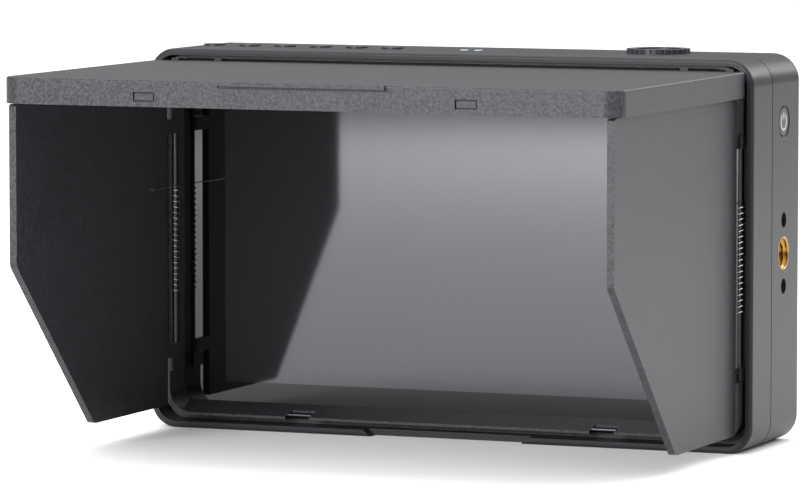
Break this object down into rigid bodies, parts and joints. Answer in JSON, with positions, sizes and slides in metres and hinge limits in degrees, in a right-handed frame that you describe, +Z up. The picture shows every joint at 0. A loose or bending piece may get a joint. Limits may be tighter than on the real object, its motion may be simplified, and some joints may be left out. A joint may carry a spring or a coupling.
{
  "type": "camera field monitor with folding sun hood",
  "caption": "Flat camera-top field monitor with glass screen, threaded mounts, keys and jog dial, and a sprung folding sun hood: a hinged lid tray over two side flaps.",
  "frame": {"origin": "centre of the mouth of the thread in the bottom face", "axes": "+X to the viewer's right along the screen's width, +Y from the screen to the back, +Z up; the bottom thread leaves along -Z"},
  "size_m": [0.193, 0.1504, 0.1168],
  "materials": {
    "shell": "charcoal moulded plastic with a fine satin texture",
    "hood": "charcoal moulded plastic with a fine spark-eroded texture",
    "keys": "dark satin plastic",
    "cover_glass": "glossy dark coated glass",
    "panel": "dark polished panel",
    "board": "green solder mask",
    "aluminium": "anodised",
    "steel": "bright drawn steel",
    "brass": "turned brass",
    "contacts": "gold-plated spring contacts",
    "socket_black": "black moulded plastic",
    "light_pipe": "clear moulded light pipe",
    "release_red": "red moulded plastic"
  },
  "bodies": {
    "monitor": {"front_bezel": "shell", "rear_cover": "shell", "cover_screws": "steel", "cover_glass": "cover_glass", "display_panel": "panel", "main_board": "board", "heat_sink": "aluminium", "hood_frame": "hood", "hood_catches": "steel", "lid_pins": "steel", "lid_springs": "steel", "left_flap_pin": "steel", "right_flap_pin": "steel", "side_thread_insert": "brass", "bottom_thread_insert": "brass", "status_lights": "light_pipe", "video_in": "steel", "video_out": "steel", "usb_socket": "steel", "phones_socket": "socket_black", "power_socket": "socket_black", "battery_plate": "socket_black", "battery_contacts": "contacts"},
    "lid": {"hood_lid": "hood", "lid_latches": "hood"},
    "left_flap": {"left_flap": "hood", "left_flap_spring": "steel"},
    "right_flap": {"right_flap": "hood", "right_flap_spring": "steel"},
    "power_button": {"power_button": "keys"},
    "jog_dial": {"jog_dial": "keys"},
    "battery_release": {"battery_release": "release_red"},
    "key_1": {"key_1": "keys"},
    "key_2": {"key_2": "keys"},
    "key_3": {"key_3": "keys"},
    "key_4": {"key_4": "keys"},
    "key_5": {"key_5": "keys"},
    "key_6": {"key_6": "keys"}
  },
  "joints": [
    {"name": "lid_hinge", "type": "hinge", "parent": "monitor", "child": "lid", "pos_m": [0, -0.027, 0.11], "axis": [-1, 0, 0], "range_deg": [0, 18], "stiffness_Nm_per_rad": 0.02, "springref_deg": -28.65},
    {"name": "left_flap_hinge", "type": "hinge", "parent": "monitor", "child": "left_flap", "pos_m": [-0.0914, -0.0212, 0.0573], "axis": [0, 0, 1], "range_deg": [0, 90], "stiffness_Nm_per_rad": 0.008, "springref_deg": -34.38},
    {"name": "right_flap_hinge", "type": "hinge", "parent": "monitor", "child": "right_flap", "pos_m": [0.0914, -0.0242, 0.0573], "axis": [0, 0, -1], "range_deg": [0, 90], "stiffness_Nm_per_rad": 0.008, "springref_deg": -34.38},
    {"name": "power_press", "type": "slide", "parent": "monitor", "child": "power_button", "axis": [-1, 0, 0], "range_m": [0, 0.0008], "stiffness_N_per_m": 800, "springref_m": -0.0005},
    {"name": "dial_turn", "type": "hinge", "parent": "monitor", "child": "jog_dial", "pos_m": [0.057, 0, 0.1154], "axis": [0, 0, 1], "continuous": true},
    {"name": "release_slide", "type": "slide", "parent": "monitor", "child": "battery_release", "axis": [0, 0, -1], "range_m": [0, 0.004], "stiffness_N_per_m": 250, "springref_m": -0.002},
    {"name": "key_1_press", "type": "slide", "parent": "monitor", "child": "key_1", "axis": [0, 0, -1], "range_m": [0, 0.0004], "stiffness_N_per_m": 800, "springref_m": -0.0005},
    {"name": "key_2_press", "type": "slide", "parent": "monitor", "child": "key_2", "axis": [0, 0, -1], "range_m": [0, 0.0004], "stiffness_N_per_m": 800, "springref_m": -0.0005},
    {"name": "key_3_press", "type": "slide", "parent": "monitor", "child": "key_3", "axis": [0, 0, -1], "range_m": [0, 0.0004], "stiffness_N_per_m": 800, "springref_m": -0.0005},
    {"name": "key_4_press", "type": "slide", "parent": "monitor", "child": "key_4", "axis": [0, 0, -1], "range_m": [0, 0.0004], "stiffness_N_per_m": 800, "springref_m": -0.0005},
    {"name": "key_5_press", "type": "slide", "parent": "monitor", "child": "key_5", "axis": [0, 0, -1], "range_m": [0, 0.0004], "stiffness_N_per_m": 800, "springref_m": -0.0005},
    {"name": "key_6_press", "type": "slide", "parent": "monitor", "child": "key_6", "axis": [0, 0, -1], "range_m": [0, 0.0004], "stiffness_N_per_m": 800, "springref_m": -0.0005}
  ]
}
